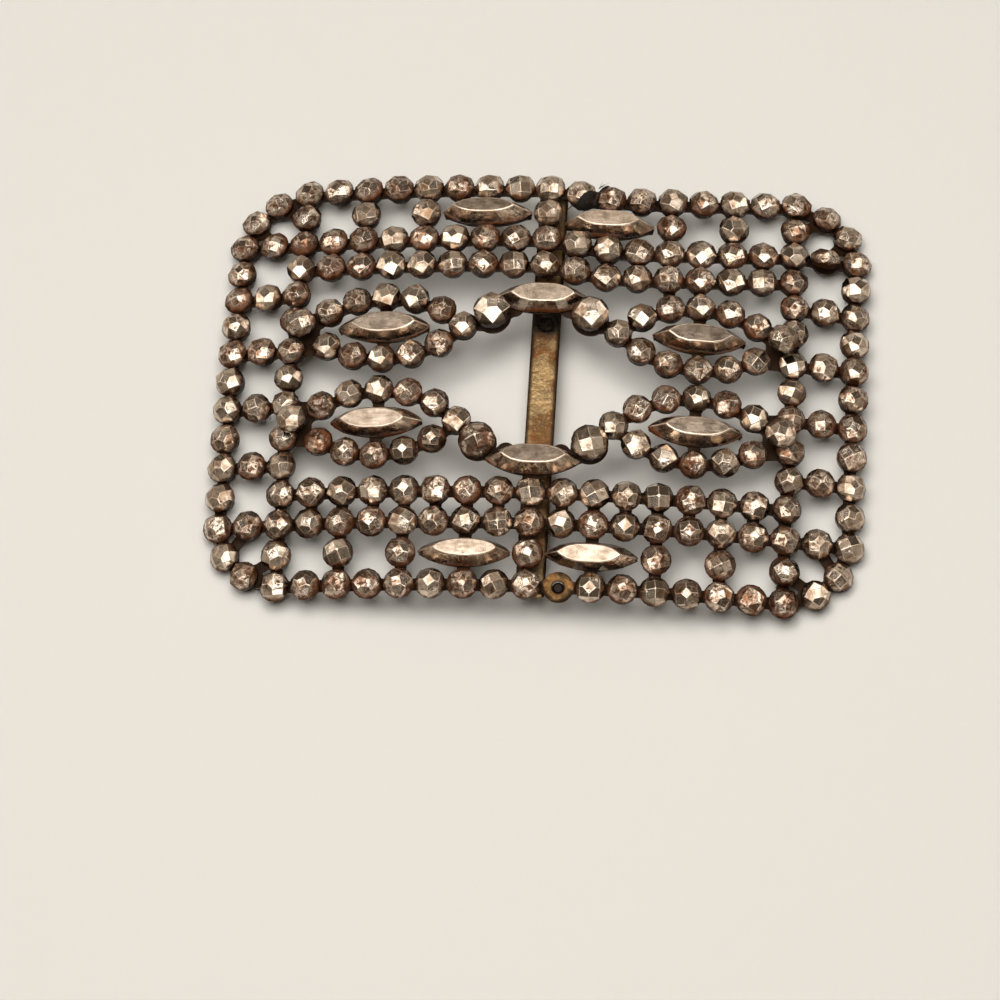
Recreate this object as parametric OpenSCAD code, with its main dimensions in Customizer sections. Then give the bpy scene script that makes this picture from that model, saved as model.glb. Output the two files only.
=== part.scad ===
// Cut steel belt buckle: domed and pierced brass plate, set all over with
// riveted rose-cut steel studs and long navette studs, with a flat centre bar.
// The plate lies on its four corners, with the studs up. Lengths are millimetres.

/* [Pattern] */
// Distance between neighbouring studs in a row, the unit of the whole pattern
pitch = 3.55; // [3.52:0.01:3.6]
// Drop of the cracked top right quarter, in pitches, where it is deepest
crack_drop = 0.4; // [0:0.05:0.4]

/* [Backing plate] */
// Radius of the sphere that the plate's upper face follows
dome_r = 140; // [130:1:170]
// Thickness of the plate
plate_t = 0.9; // [0.8:0.05:1]
// Width of the necks that join lobes which stand further apart
neck_w = 1.3; // [1:0.1:1.4]

/* [Studs] */
// Diameter of a small stud at its girdle
stud_d = 3.3; // [3.1:0.05:3.35]
// Height of a small stud
stud_h = 1.8; // [1.5:0.05:1.85]
// Diameter of a large stud at its girdle
large_d = 4.3; // [3.8:0.05:4.3]
// Height of a large stud
large_h = 2.3; // [2:0.05:2.5]

/* [Navettes] */
// Length of the navettes inside the leaves and at the centre
navette_l = 10.9; // [10:0.1:10.9]
// Length of the navettes between the rails
rim_navette_l = 10.6; // [10:0.1:10.6]
// Width of the navettes inside the leaves and at the centre
navette_w = 3.8; // [3.4:0.1:3.9]
// Width of the navettes between the rails
rim_navette_w = 3.4; // [3:0.1:3.5]
// Height of a navette
navette_h = 2; // [1.7:0.1:2.3]

/* [Centre bar] */
// Width of the bar that the belt goes round
bar_w = 3.3; // [3:0.1:3.6]
// Thickness of the bar
bar_t = 0.8; // [0.6:0.1:1]
// Sideways place of the bar
bar_x = 0.35; // [0:0.05:0.5]
// Diameter of the blind hole near the bar's top
bar_hole_d = 1.7; // [1.2:0.1:1.8]
// Diameter of an empty rivet hole in the plate
rivet_d = 1.2; // [1:0.1:1.4]

/* [Hidden] */

brass = "#a5803f";
steel = "#9c8b7b";

// Rows and columns of the pattern, counted in pitches from the middle
rail_row = 7;
spacer_row = 6;
outer_row = 5;
inner_row = 4;
outer_column = 10;
tie_column = 9.03;
inner_column = 8.06;
// Studs either side of the middle in the rails and the two bands
rail_half = 8;
outer_half = 9;
inner_half = 8;
// Rounded corner of the rim: the rail's end stud and the corner stud
rail_end = [9, 6.62];
corner = [9.7, 5.95];
// The inner column leaves room for the shank of the leaf's end stud
inner_column_rows = [0, 0.958, 2.084, 3.042];
tie_rows = [1, 3];
spacer_columns = [0, 4, 6, 8];
rim_navette_at = [2, 6];
// The centre group, first its top half and then its bottom half
centre_navette_rows = [2.74, 2.95];
large_studs_at = [[1.57, 2.085], [1.765, 2.385]];

// A leaf is a ring of twelve studs on two arcs that meet at its ends
leaf_at = [5.06, 1.67];
leaf_half_l = 2.58;
leaf_half_w = 1.13;
leaf_steps = 6;
top_right_leaf_drop = 0.1;

// Clearances, lifts and small sizes, in millimetres
seat_gap = 0.05;
leaf_tip_lift = stud_h + 0.1;
large_lift = 0.75;
shank_d = 0.8;
pad_d = 2.6;
neck_reach = 1.2 * pitch;
centre_lobe_at = [3.1, 1.3];
centre_lobe_w = 2.4;
lobe_overlap = 0.06;
lobe_margin = 0.05;

// A lobe is an eight-sided scallop whose flats just run into its neighbours'
lobe_w = pitch + lobe_overlap;
large_lobe_w = large_d;

function lobe_corner(w) = [w / 2, w / 2 * tan(22.5)];

// The sphere's centre, set so that the plate's corners touch height zero
inner_r = dome_r - plate_t;
corner_reach = norm(pitch * corner + lobe_corner(lobe_w));
dome_z = -sqrt(pow(inner_r, 2) - pow(corner_reach, 2));

// Seats are [x, y, lift above the plate, which group of studs it belongs to]
FRAME = 0;

// The crack runs just right of the middle: beyond it the rail and the bands of
// the top half have sunk, most at the second stud and no longer at the eighth
crack_start = 0.5;
crack_end = 8;
function sag(i) = crack_drop * (1 - pow((max(i, 2) - 2) / (crack_end - 2), 2));
function crack(i, j) =
    (j < inner_row || i <= crack_start || i >= crack_end) ? 0 : sag(i) * min(1, i - crack_start);

function seat(i, j, lift = 0, group = FRAME) = [pitch * i, pitch * (j - crack(i, j)), lift, group];

function row(j, half, skip = undef) = [for (i = [-half:half]) if (i != skip) seat(i, j)];

function rim_seats() = concat(
    row(rail_row, rail_half),
    row(-rail_row, rail_half, 1),
    [for (s = [-1, 1], x = [-1, 1]) seat(x * rail_end.x, s * rail_end.y)],
    [for (s = [-1, 1], x = [-1, 1]) seat(x * corner.x, s * corner.y)],
    [for (j = [-outer_row:outer_row], x = [-1, 1]) seat(x * outer_column, j)]
);

function spacer_seats(s) = [
    for (i = spacer_columns, x = (i == 0 ? [1] : [-1, 1])) seat(x * i, s * spacer_row)
];

function inner_column_seats(x) = concat(
    [for (j = inner_column_rows, s = (j == 0 ? [1] : [-1, 1])) seat(x * inner_column, s * j)],
    [for (j = tie_rows, s = [-1, 1]) seat(x * tie_column, s * j)]
);

// The middle of a leaf, for the side x and the half s that it lies in
function leaf_centre(x, s) = [x * leaf_at.x, s * leaf_at.y - ((x > 0 && s > 0) ? top_right_leaf_drop : 0)];

function leaf_arc_r() = (pow(leaf_half_l, 2) + pow(leaf_half_w, 2)) / (2 * leaf_half_w);
function leaf_arc_angle() = asin(leaf_half_l / leaf_arc_r());

// Point k of the arc on the side s of the leaf's long axis, from end to end
function leaf_point(k, s) =
    let (turn = leaf_arc_angle() * (2 * k / leaf_steps - 1))
    [leaf_arc_r() * sin(turn), s * leaf_arc_r() * (cos(turn) - cos(leaf_arc_angle()))];

// The end that lies towards the buckle's side rides up over the inner column
function leaf_seats(x, s) = concat(
    [for (side = [-1, 1], k = [1:leaf_steps - 1])
        let (p = leaf_centre(x, s) + leaf_point(k, side)) seat(p.x, p.y, 0, leaf_group(x, s))],
    [for (end = [-1, 1])
        let (p = leaf_centre(x, s) + [end * leaf_half_l, 0])
        seat(p.x, p.y, end == x ? leaf_tip_lift : 0, leaf_group(x, s))]
);
function leaf_group(x, s) = 3 + x + s / 2;

function place(at) = seat(at.x, at.y);
function rim_navette_seat(x, s) = seat(x * rim_navette_at.x, s * rim_navette_at.y);
function half_of(s) = s > 0 ? 0 : 1;
function large_seat(x, s) =
    let (at = large_studs_at[half_of(s)]) seat(x * at.x, s * at.y, large_lift);
function centre_navette_seat(s) = seat(0, s * centre_navette_rows[half_of(s)]);
empty_seat = seat(1, -rail_row);

function all_leaf_seats() = [for (x = [-1, 1], s = [-1, 1], p = leaf_seats(x, s)) p];
function all_large_seats() = [for (x = [-1, 1], s = [-1, 1]) large_seat(x, s)];
function all_rim_navette_seats() = [for (x = [-1, 1], s = [-1, 1]) rim_navette_seat(x, s)];
function all_leaf_navette_seats() = [for (x = [-1, 1], s = [-1, 1]) place(leaf_centre(x, s))];
function all_centre_navette_seats() = [for (s = [-1, 1]) centre_navette_seat(s)];

function small_seats() = concat(
    rim_seats(),
    [empty_seat],
    row(outer_row, outer_half), row(-outer_row, outer_half),
    row(inner_row, inner_half), row(-inner_row, inner_half),
    spacer_seats(1), spacer_seats(-1),
    inner_column_seats(-1), inner_column_seats(1),
    all_leaf_seats()
);

function joined_seats() = concat(
    small_seats(), all_large_seats(),
    all_rim_navette_seats(), all_leaf_navette_seats(), all_centre_navette_seats()
);

// The dome: the outward direction over a place, and a point raised from it
function outward(p) = [p.x, p.y, sqrt(pow(dome_r, 2) - pow(p.x, 2) - pow(p.y, 2))] / dome_r;
function across(p) = let (n = outward(p)) [n.z, 0, -n.x] / norm([n.z, 0, -n.x]);
function raised(p, height) = [0, 0, dome_z] + outward(p) * (dome_r + p[2] + seat_gap + height);

// A ring of points round a seat: offsets [u, v] lie in the plane across its axis
function ring(p, offsets, height) =
    let (n = outward(p), u = across(p), v = cross(n, u))
    [for (o = offsets) raised(p, height) + o.x * u + o.y * v];

function circle_offsets(sides, r, turn) = [
    for (k = [0:sides - 1]) let (a = 360 * k / sides + turn) [r * cos(a), r * sin(a)]
];

// Faces of stacked rings of equal size, closed below and above, for solid number n
function stack_faces(sides, rings, n) =
    let (first = n * sides * rings)
    concat(
        [[for (k = [0:sides - 1]) first + k]],
        [for (r = [0:rings - 2], k = [0:sides - 1], half = [0, 1])
            let (a = first + r * sides + k, b = first + r * sides + (k + 1) % sides)
            half == 0 ? [a, a + sides, b] : [b, a + sides, b + sides]],
        [[for (k = [0:sides - 1]) first + (rings - 1) * sides + sides - 1 - k]]
    );

// Each stud is set with its facets turned as they fell, here by a fixed rule
stud_sides = 8;
function facet_turn(p) = 45 * (sin(p.x * 97) + cos(p.y * 61));

// A cut stud is four rings of corners: short sides that widen to the girdle, a
// row of facets turned half a step, and a row that closes to the table
stud_rings = 4;
function stud_points(p, sides, d, h, turn) =
    let (half_step = 180 / sides, r = d / 2)
    concat(
        ring(p, circle_offsets(sides, 0.92 * r, turn), 0),
        ring(p, circle_offsets(sides, r, turn), 0.25 * h),
        ring(p, circle_offsets(sides, 0.78 * r, turn + half_step), 0.7 * h),
        ring(p, circle_offsets(sides, 0.36 * r, turn), h)
    );

module studs(seats) {
    color(steel)
        polyhedron(
            points = [for (p = seats) each stud_points(p, stud_sides, stud_d, stud_h, facet_turn(p))],
            faces = [for (n = [0:len(seats) - 1]) each stack_faces(stud_sides, stud_rings, n)]
        );
}

large_sides = 10;
module large_stud(p) {
    color(steel)
        polyhedron(
            points = stud_points(p, large_sides, large_d, large_h, 0),
            faces = stack_faces(large_sides, stud_rings, 0)
        );
}

// The outline of a navette: five facets on each long side, from point to point
navette_stations = [-1, -0.68, -0.38, 0.38, 0.68, 1];
function navette_side(t) = pow(1 - pow(t, 2), 0.65);
function navette_offsets(l, w) = concat(
    [for (t = navette_stations) [l / 2 * t, -w / 2 * navette_side(t)]],
    [for (k = [4:-1:1]) let (t = navette_stations[k]) [l / 2 * t, w / 2 * navette_side(t)]]
);

module navette(p, l, w) {
    color(steel)
        polyhedron(
            points = concat(
                ring(p, navette_offsets(0.95 * l, 0.9 * w), 0),
                ring(p, navette_offsets(l, w), 0.25 * navette_h),
                ring(p, navette_offsets(0.68 * l, 0.63 * w), navette_h)
            ),
            faces = stack_faces(10, 3, 0)
        );
}

// Lobes and necks of the plate, seen from above
module lobe(p, w) {
    translate([p.x, p.y]) rotate(22.5) circle(d = w / cos(22.5), $fn = 8);
}

module neck(a, b) {
    step = [b.x - a.x, b.y - a.y];
    translate([a.x + b.x, a.y + b.y] / 2)
        rotate(atan2(step.y, step.x))
            square([norm(step), neck_w], center = true);
}

module navette_lobe(p, l, w) {
    translate([p.x, p.y])
        polygon(navette_offsets(l - 2 * lobe_margin, w - 2 * lobe_margin));
}

// A neck joins two seats that are neighbours but stand more than a pitch apart,
// and never joins leaf to leaf
function needs_neck(a, b) =
    let (gap = norm([a.x - b.x, a.y - b.y]))
    gap > 1.01 * pitch && gap < neck_reach
    && (a[3] == b[3] || a[3] == FRAME || b[3] == FRAME);

module plate_outline() {
    seats = joined_seats();
    count = len(seats);
    offset(delta = -lobe_overlap / 2) offset(delta = lobe_overlap / 2) {
        for (p = small_seats()) lobe(p, lobe_w);
        for (p = all_large_seats()) lobe(p, large_lobe_w);
        for (p = all_rim_navette_seats()) navette_lobe(p, rim_navette_l, rim_navette_w);
        for (p = concat(all_leaf_navette_seats(), all_centre_navette_seats())) navette_lobe(p, navette_l, navette_w);
        for (a = [0:count - 2], b = [a + 1:count - 1])
            if (needs_neck(seats[a], seats[b])) neck(seats[a], seats[b]);
        for (x = [-1, 1], s = [-1, 1]) {
            neck(centre_navette_seat(s) + [x * pitch, 0, 0, 0], large_seat(x, s));
            lobe(centre_navette_seat(s) + [x * centre_lobe_at.x, -s * centre_lobe_at.y, 0, 0], centre_lobe_w);
            for (j = [outer_row, rail_row])
                neck(rim_navette_seat(x, s), seat(x * rim_navette_at.x, s * j));
        }
    }
}

// Upright cylinder through the plate's own direction at a seat
module on_seat(p) {
    n = outward(p);
    translate([0, 0, dome_z])
        rotate([0, acos(n.z), atan2(n.y, n.x)])
            translate([0, 0, dome_r])
                children();
}

// The shell that the plate is cut from, with the raised pads of the large studs,
// the shanks of the leaf ends, and the hole that a lost stud has left
module dome_shell() {
    difference() {
        union() {
            translate([0, 0, dome_z]) sphere(r = dome_r, $fn = 200);
            for (p = all_large_seats())
                on_seat(p) translate([0, 0, -plate_t]) cylinder(d = pad_d, h = plate_t + large_lift, $fn = 32);
            for (p = all_leaf_seats())
                if (p[2] > 0)
                    on_seat(p) translate([0, 0, -plate_t]) cylinder(d = shank_d, h = plate_t + leaf_tip_lift, $fn = 32);
        }
        translate([0, 0, dome_z]) sphere(r = inner_r, $fn = 200);
        on_seat(empty_seat)
            translate([0, 0, -2 * plate_t])
                cylinder(d = rivet_d, h = 4 * plate_t, $fn = 32);
    }
}

module backing_plate() {
    color(brass)
        intersection() {
            linear_extrude(height = dome_r + dome_z + leaf_tip_lift + 1) plate_outline();
            dome_shell();
        }
}

// The bar is flat, so it meets the domed plate only behind the two rails
bar_half_l = pitch * rail_row + 0.8;
bar_hole_y = 8.25;
bar_hole_depth = 0.45;
bar_top = dome_z + sqrt(pow(inner_r, 2) - pow(bar_half_l, 2) - pow(bar_x + bar_w / 2, 2)) - seat_gap;

module centre_bar() {
    color(brass)
        difference() {
            translate([bar_x - bar_w / 2, -bar_half_l, bar_top - bar_t])
                cube([bar_w, 2 * bar_half_l, bar_t]);
            translate([bar_x, bar_hole_y, bar_top - bar_hole_depth])
                cylinder(d = bar_hole_d, h = bar_t, $fn = 32);
        }
}

backing_plate();
centre_bar();

studs(rim_seats());  // rim_studs
studs(row(outer_row, outer_half));  // top_outer_band
studs(row(inner_row, inner_half));  // top_inner_band
studs(row(-outer_row, outer_half));  // bottom_outer_band
studs(row(-inner_row, inner_half));  // bottom_inner_band
studs(spacer_seats(1));  // top_spacers
studs(spacer_seats(-1));  // bottom_spacers
studs(inner_column_seats(-1));  // left_inner_column
studs(inner_column_seats(1));  // right_inner_column

studs(leaf_seats(-1, 1));  // leaf_ring_top_left
studs(leaf_seats(1, 1));  // leaf_ring_top_right
studs(leaf_seats(-1, -1));  // leaf_ring_bottom_left
studs(leaf_seats(1, -1));  // leaf_ring_bottom_right

large_stud(large_seat(-1, 1));  // large_stud_top_left
large_stud(large_seat(1, 1));  // large_stud_top_right
large_stud(large_seat(-1, -1));  // large_stud_bottom_left
large_stud(large_seat(1, -1));  // large_stud_bottom_right

navette(place(leaf_centre(-1, 1)), navette_l, navette_w);  // leaf_navette_top_left
navette(place(leaf_centre(1, 1)), navette_l, navette_w);  // leaf_navette_top_right
navette(place(leaf_centre(-1, -1)), navette_l, navette_w);  // leaf_navette_bottom_left
navette(place(leaf_centre(1, -1)), navette_l, navette_w);  // leaf_navette_bottom_right

navette(rim_navette_seat(-1, 1), rim_navette_l, rim_navette_w);  // rim_navette_top_left
navette(rim_navette_seat(1, 1), rim_navette_l, rim_navette_w);  // rim_navette_top_right
navette(rim_navette_seat(-1, -1), rim_navette_l, rim_navette_w);  // rim_navette_bottom_left
navette(rim_navette_seat(1, -1), rim_navette_l, rim_navette_w);  // rim_navette_bottom_right

navette(centre_navette_seat(1), navette_l, navette_w);  // centre_navette_top
navette(centre_navette_seat(-1), navette_l, navette_w);  // centre_navette_bottom
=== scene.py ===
"""Looks of a cut steel belt buckle: a domed brass plate, pierced and riveted all over with steel.

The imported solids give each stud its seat, and every section below makes one piece or one group
of like pieces, from the plate outwards to the thread on its top rail. Lengths are metres.
"""

import bpy
import numpy as np
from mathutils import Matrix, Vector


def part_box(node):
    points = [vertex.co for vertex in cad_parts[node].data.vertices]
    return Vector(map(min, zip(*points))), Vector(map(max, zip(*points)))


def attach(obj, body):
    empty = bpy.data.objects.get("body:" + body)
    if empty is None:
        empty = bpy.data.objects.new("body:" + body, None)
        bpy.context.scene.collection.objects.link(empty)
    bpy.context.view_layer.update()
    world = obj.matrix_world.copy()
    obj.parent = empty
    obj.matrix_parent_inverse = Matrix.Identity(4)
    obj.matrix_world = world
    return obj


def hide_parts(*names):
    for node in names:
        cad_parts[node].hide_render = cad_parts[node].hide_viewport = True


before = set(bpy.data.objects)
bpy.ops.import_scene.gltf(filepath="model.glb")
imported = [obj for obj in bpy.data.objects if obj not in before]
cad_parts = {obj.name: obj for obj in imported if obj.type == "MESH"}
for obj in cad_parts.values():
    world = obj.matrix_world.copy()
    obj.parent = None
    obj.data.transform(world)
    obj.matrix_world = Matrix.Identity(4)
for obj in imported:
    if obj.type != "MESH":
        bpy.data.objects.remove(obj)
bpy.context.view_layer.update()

# The photograph's view: a long lens, high in front of the buckle, which lies a little turned and
# left of the picture's middle. The dome is the sphere that the plate's upper face follows, and
# the camera's place is counted from its crown.
dome_middle = np.array((0, 0, -0.132504))
dome_radius = 0.140
camera_distance = 0.426
camera_shift = (-0.00635, -0.01328)
camera_turn, camera_height, camera_roll = np.radians((-11.47, 66.03, 8.71))

across = np.array((np.cos(camera_turn), -np.sin(camera_turn), 0))
upwards = np.array((
    np.sin(camera_turn) * np.sin(camera_height),
    np.cos(camera_turn) * np.sin(camera_height),
    np.cos(camera_height),
))
backwards = np.cross(across, upwards)
picture_right = across * np.cos(camera_roll) - upwards * np.sin(camera_roll)
picture_up = across * np.sin(camera_roll) + upwards * np.cos(camera_roll)
viewpoint = dome_middle + (0, 0, dome_radius) + camera_distance * backwards
viewpoint = viewpoint + camera_shift[0] * across + camera_shift[1] * upwards

lens = bpy.data.cameras.new("camera")
lens.lens = 135.65
lens.clip_start, lens.clip_end = 0.01, 20
camera = bpy.data.objects.new("camera", lens)
placed = np.eye(4)
placed[:3] = np.stack([picture_right, picture_up, backwards, viewpoint], 1)
camera.matrix_world = placed.T
bpy.context.scene.collection.objects.link(camera)
bpy.context.scene.camera = camera


# The studio: a pale table, one large soft light above, panels and walls that only show in
# reflections, and a dim room, dark where the photographer stands.
bpy.context.scene.view_settings.view_transform = "Standard"


def node(tree, kind, inputs=None, **settings):
    """Adds a shader node. Each input takes a plain value or another node's output socket."""
    made = tree.nodes.new("ShaderNode" + kind)
    for name, value in settings.items():
        setattr(made, name, value)
    for name, value in (inputs or {}).items():
        if isinstance(value, bpy.types.NodeSocket):
            tree.links.new(value, made.inputs[name])
        else:
            made.inputs[name].default_value = value
    return made


def ramp(tree, value, low, high, at_low=0.0, at_high=1.0):
    """Smooth step of a value: at_low below low, at_high above high."""
    return node(tree, "MapRange", {
        "Value": value, "From Min": low, "From Max": high, "To Min": at_low, "To Max": at_high,
    }, interpolation_type="SMOOTHSTEP").outputs["Result"]


def mixed(tree, share, a, b):
    """Colour a turned into colour b by a share from 0 to 1."""
    mix = node(tree, "Mix", data_type="RGBA")
    for socket, value in ((mix.inputs[0], share), (mix.inputs[6], a), (mix.inputs[7], b)):
        if isinstance(value, bpy.types.NodeSocket):
            tree.links.new(value, socket)
        else:
            socket.default_value = value
    return mix.outputs[2]


def math(tree, operation, a, b=0.0):
    """One arithmetic step on two values."""
    return node(tree, "Math", {0: a, 1: b}, operation=operation).outputs[0]


def finish_of(name):
    """New material with an empty Principled surface: the tree and that shader."""
    material = bpy.data.materials.new(name)
    material.use_nodes = True
    return material, material.node_tree, material.node_tree.nodes["Principled BSDF"]


def mesh_piece(name, points, *panels):
    """Mesh object from an array of points and arrays of panels, one row of corners a panel."""
    mesh = bpy.data.meshes.new(name)
    mesh.from_pydata(points.tolist(), [], [row for rows in panels for row in rows.tolist()])
    piece = bpy.data.objects.new(name, mesh)
    bpy.context.scene.collection.objects.link(piece)
    return piece


table_reach = 3.0
table = mesh_piece(
    "table", table_reach * np.array(((-1, -1, 0), (1, -1, 0), (1, 1, 0), (-1, 1, 0.0))),
    np.array(((0, 1, 2, 3),)),
)
material, tree, surface = finish_of("pale_table")
paint = node(tree, "TexNoise", {"Scale": 9.0, "Detail": 3.0}).outputs["Fac"]
tree.links.new(
    mixed(tree, paint, (0.79, 0.765, 0.715, 1), (0.81, 0.787, 0.742, 1)),
    surface.inputs["Base Color"],
)
surface.inputs["Roughness"].default_value = 0.75
surface.inputs["Specular IOR Level"].default_value = 0.2
table.data.materials.append(material)


def soft_light(name, place, size, radiance, colour, part="reflected"):
    """Square light that faces the origin. Its power is radiance times pi times its area. Its part
    is either to be reflected in metal or to light matt surfaces."""
    light = bpy.data.lights.new(name, "AREA")
    light.size = size
    light.energy = radiance * np.pi * size ** 2
    light.color = colour
    facing = np.array(place) / np.linalg.norm(place)
    side = np.cross((0, 0.01, 1.0), facing)
    side /= np.linalg.norm(side)
    lamp = bpy.data.objects.new(name, light)
    placed = np.eye(4)
    placed[:3] = np.stack([side, np.cross(facing, side), facing, place], 1)
    lamp.matrix_world = placed.T
    lamp.visible_diffuse = part == "matt"
    lamp.visible_glossy = part == "reflected"
    bpy.context.scene.collection.objects.link(lamp)


lamp_colour = (1.0, 0.98, 0.95)
panel_colour = (1.0, 0.95, 0.88)
wall_colour = (1.0, 0.91, 0.79)
soft_light("key", (-0.03, -0.02, 0.62), 0.46, 6.35, lamp_colour, "matt")
soft_light("softbox", (-0.03, -0.09, 0.62), 0.67, 3.6, lamp_colour)
soft_light("panel_behind", (0.05, 0.45, 0.38), 0.15, 2.4, panel_colour)
soft_light("ceiling_behind", (-0.02, 0.37, 0.70), 0.20, 1.2, panel_colour)
soft_light("panel_left", (-0.50, 0.16, 0.26), 0.30, 2.6, panel_colour)
soft_light("panel_right", (0.50, 0.22, 0.24), 0.28, 2.4, panel_colour)
soft_light("panel_front", (0.26, -0.50, 0.10), 0.24, 1.8, panel_colour)
soft_light("wall_behind", (0, 1.2, 0.45), 1.1, 0.48, wall_colour)
soft_light("wall_left", (-1.1, -0.1, 0.40), 1.0, 0.42, wall_colour)
soft_light("wall_right", (1.1, -0.1, 0.40), 1.0, 0.42, wall_colour)
soft_light("wall_front", (-0.1, -1.2, 0.35), 1.0, 0.42, wall_colour)

room = bpy.data.worlds.new("room")
room.use_nodes = True
bpy.context.scene.world = room
tree = room.node_tree
direction = node(tree, "TexCoord").outputs["Generated"]
to_front = node(tree, "VectorMath", {0: direction, 1: tuple(backwards)}, operation="DOT_PRODUCT")
height = node(tree, "SeparateXYZ", {0: direction}).outputs["Z"]
walls = mixed(tree, ramp(tree, height, 0.05, 0.95), (0.065, 0.052, 0.036, 1), (0.09, 0.077, 0.058, 1))
dark = ramp(tree, to_front.outputs["Value"], 0.80, 0.94)
background = tree.nodes["Background"]
tree.links.new(mixed(tree, dark, walls, (0.03, 0.026, 0.02, 1)), background.inputs["Color"])
background.inputs["Strength"].default_value = 1.0


# The backing plate: brass sheet, about 0.9 mm thick, sawn into a round lobe under every stud with
# short necks between neighbours and a lens under each long stud, then raised into a shallow dome.
# One stud of the bottom rail is lost: its rivet hole is open and the brass round it is left bright,
# where the rest is painted dark for stain and shade.
def seats(name, triangles_each):
    """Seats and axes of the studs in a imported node, whose solids come one after another as
    triangles_each loose triangles. An axis points from the dome's middle to the mean of a solid's
    corners, and the seat lies on it at the height of the lowest corner."""
    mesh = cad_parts[name].data
    corners = np.empty(len(mesh.vertices) * 3)
    mesh.vertices.foreach_get("co", corners)
    corners = corners.reshape(-1, 3 * triangles_each, 3)
    axis = np.array([np.unique(c.round(8), axis=0).mean(0) for c in corners]) - dome_middle
    axis /= np.linalg.norm(axis, axis=1, keepdims=True)
    height = ((corners - dome_middle) * axis[:, None]).sum(2).min(1)
    return dome_middle + axis * height[:, None], axis


quarters = ("top_left", "top_right", "bottom_left", "bottom_right")
leaf_rings = ["leaf_ring_" + q for q in quarters]
stud_fields = [
    "rim_studs", "top_outer_band", "top_inner_band", "bottom_outer_band", "bottom_inner_band",
    "top_spacers", "bottom_spacers", "left_inner_column", "right_inner_column", *leaf_rings,
]
large_studs = ["large_stud_" + q for q in quarters]
rim_navettes = ["rim_navette_" + q for q in quarters]
wide_navettes = ["leaf_navette_" + q for q in quarters] + ["centre_navette_top", "centre_navette_bottom"]
places = {name: seats(name, 60) for name in stud_fields}
places.update({name: seats(name, 76) for name in large_studs})
places.update({name: seats(name, 56) for name in rim_navettes + wide_navettes})

pitch = 0.00355
empty_seat = pitch * np.array((1, -7))
plate_thickness = 0.0009
lobe_radius = 0.00156
empty_lobe_radius = 0.00174
large_lobe_radius = 0.00212
centre_lobe_at = (0.0031, 0.0011)
centre_lobe_radius = 0.0011
neck_half_width = 0.00068
rivet_hole_radius = 0.00066
lens_half_length = 0.0054
lens_half_width = {"rim": 0.0016, "wide": 0.0018}


def in_plan(names):
    """Plan places of the lobes under some nodes: each axis followed to the dome's surface."""
    return np.vstack([(dome_middle + dome_radius * places[name][1])[:, :2] for name in names])


small_plan = np.vstack([in_plan(stud_fields), empty_seat])
large_plan, rim_plan, wide_plan = in_plan(large_studs), in_plan(rim_navettes), in_plan(wide_navettes)
all_plan = np.vstack([small_plan, large_plan, rim_plan, wide_plan])
ring_of = np.zeros(len(all_plan), int)
passed = 0
for name in stud_fields:
    count = len(places[name][0])
    ring_of[passed:passed + count] = 1 + leaf_rings.index(name) if name in leaf_rings else 0
    passed += count

gap = np.linalg.norm(all_plan[:, None] - all_plan[None], axis=2)
mates = (ring_of[:, None] == ring_of) | (ring_of[:, None] == 0) | (ring_of == 0)
near = np.argwhere(np.triu((gap < 1.2 * pitch) & mates, 1))
necks = all_plan[near]
to_large = np.array([
    (c + (x * pitch, 0), large_plan[np.argmin(np.linalg.norm(large_plan - c - (2 * x * pitch, 0), axis=1))])
    for c in wide_plan[-2:] for x in (-1, 1)
])
small_lobes = np.array([
    c + (x * centre_lobe_at[0], -np.sign(c[1]) * centre_lobe_at[1]) for c in wide_plan[-2:] for x in (-1, 1)
])
to_rows = np.array([(c, c + (0, y * pitch)) for c in rim_plan for y in (-1, 1)])
strips = np.vstack([
    np.repeat(small_plan[:, None], 2, 1), np.repeat(large_plan[:, None], 2, 1),
    np.repeat(small_lobes[:, None], 2, 1), necks, to_large, to_rows,
])
strip_radius = np.repeat(
    (lobe_radius, empty_lobe_radius, large_lobe_radius, centre_lobe_radius, neck_half_width),
    (len(small_plan) - 1, 1, len(large_plan), len(small_lobes), len(necks) + len(to_large) + len(to_rows)),
)


def plate_outline(p):
    """Signed distance from plan points to the plate's edge, in metres: the smooth least of the
    distances to the lobes and necks, which are strips with round ends, and to the lenses, each
    shared by two circles, with the lost stud's rivet hole taken out."""
    soft = 0.00005
    total = np.zeros(len(p))
    for (a, b), radius in zip(strips, strip_radius):
        run = b - a
        along = np.clip((p - a) @ run / max(run @ run, 1e-12), 0, 1)
        total += np.exp((radius - np.linalg.norm(p - a - along[:, None] * run, axis=1)) / soft)
    for centres, width in ((rim_plan, lens_half_width["rim"]), (wide_plan, lens_half_width["wide"])):
        radius = (lens_half_length ** 2 + width ** 2) / (2 * width)
        for c in centres:
            arcs = [np.linalg.norm(p - c - (0, y * (radius - width)), axis=1) for y in (-1, 1)]
            total += np.exp((radius - np.maximum(*arcs)) / soft)
    edge = -soft * np.log(total + 1e-300)
    return np.maximum(edge, rivet_hole_radius - np.linalg.norm(p - empty_seat, axis=1))


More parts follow.
